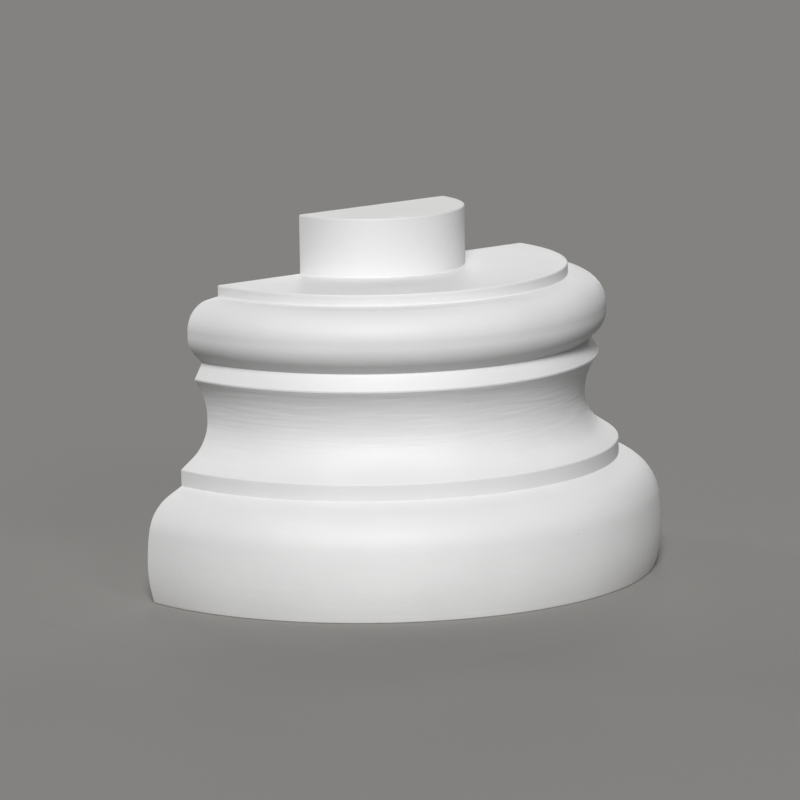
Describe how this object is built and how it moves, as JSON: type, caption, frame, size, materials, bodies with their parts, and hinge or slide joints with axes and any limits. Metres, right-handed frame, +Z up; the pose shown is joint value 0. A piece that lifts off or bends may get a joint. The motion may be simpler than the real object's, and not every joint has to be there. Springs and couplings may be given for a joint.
{
  "type": "half-round column base",
  "caption": "Half-round base for an engaged column: bulging lower torus, fillet, hollow scotia, flared lip, upper torus and a flat seat with a half-round locating spigot.",
  "frame": {"origin": "on the column's axis, where the flat wall side meets the underside", "axes": "+Z up along the column's axis; the flat back lies in the wall plane y = 0 and the round front faces -Y; +X runs along the wall"},
  "size_m": [0.35, 0.175, 0.2217],
  "materials": {
    "white_primer": "matt white primer over moulded rigid foam"
  },
  "bodies": {
    "root": {"half_column_base": "white_primer"}
  },
  "joints": []
}
